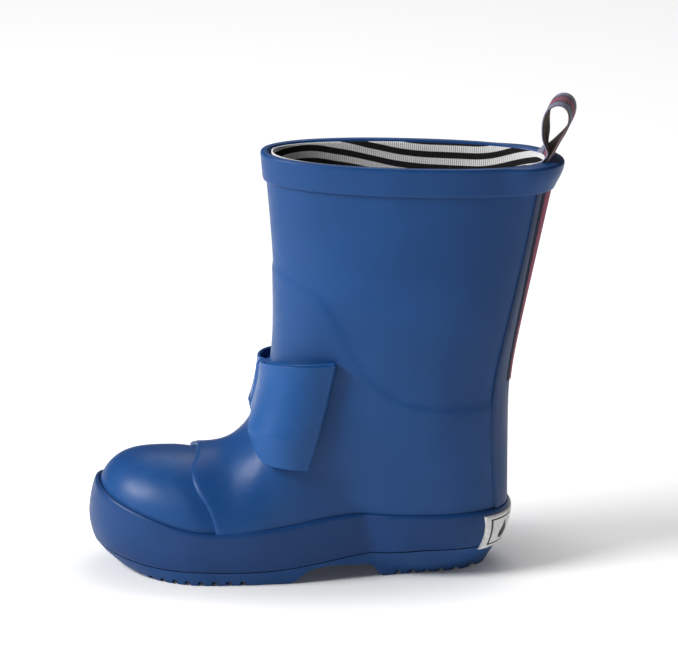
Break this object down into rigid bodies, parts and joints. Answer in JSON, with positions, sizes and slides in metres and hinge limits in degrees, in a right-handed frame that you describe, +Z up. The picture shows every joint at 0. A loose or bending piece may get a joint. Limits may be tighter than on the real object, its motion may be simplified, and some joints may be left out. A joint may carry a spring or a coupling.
{
  "type": "rubber rain boot",
  "caption": "Child's left rubber rain boot with a tall toe band, treaded sole, bow on the instep, striped knit lining and a ribbon pull loop",
  "frame": {"origin": "bottom centre of the bounding box, on the surface the boot stands on", "axes": "+X toward the toe, +Y toward the wearer's left (outer side of this left boot), +Z up"},
  "size_m": [0.1964, 0.0694, 0.1938],
  "materials": {
    "upper_rubber": "soft semi-gloss, smooth",
    "band_rubber": "soft semi-gloss",
    "strip_rubber": "soft semi-gloss",
    "ribbon_red": "woven grosgrain",
    "label": "semi-matt, printed border",
    "stiffener": "matt, pressed fibre",
    "knit": "black and white striped rib knit",
    "foam": "matt, fine cells",
    "board": "matt fibre board",
    "footbed_cloth": "black and white striped knit over foam",
    "tread_rubber": "matt",
    "ribbon": "grosgrain weave, slate with a red stripe"
  },
  "bodies": {
    "boot": {"leg_shaft": "upper_rubber", "vamp": "upper_rubber", "toe_cap": "upper_rubber", "collar_band": "upper_rubber", "foxing_band": "band_rubber", "back_strip": "strip_rubber", "back_ribbon": "ribbon_red", "heel_label": "label", "heel_counter": "stiffener", "toe_puff": "stiffener", "lining_sock": "knit", "midsole_filler": "foam", "insole_board": "board", "footbed": "footbed_cloth", "outsole": "tread_rubber", "bow_wing_outer": "upper_rubber", "bow_wing_inner": "upper_rubber", "bow_knot": "upper_rubber", "ribbon_tail_outside": "ribbon", "ribbon_tail_inside": "ribbon"},
    "pull_loop": {"pull_loop": "ribbon"}
  },
  "joints": [
    {"name": "pull_loop_fold", "type": "hinge", "parent": "boot", "child": "pull_loop", "pos_m": [-0.0879, -0.00069, 0.17087], "axis": [0, 1, 0], "range_deg": [-55, 85], "stiffness_Nm_per_rad": 0.001}
  ]
}
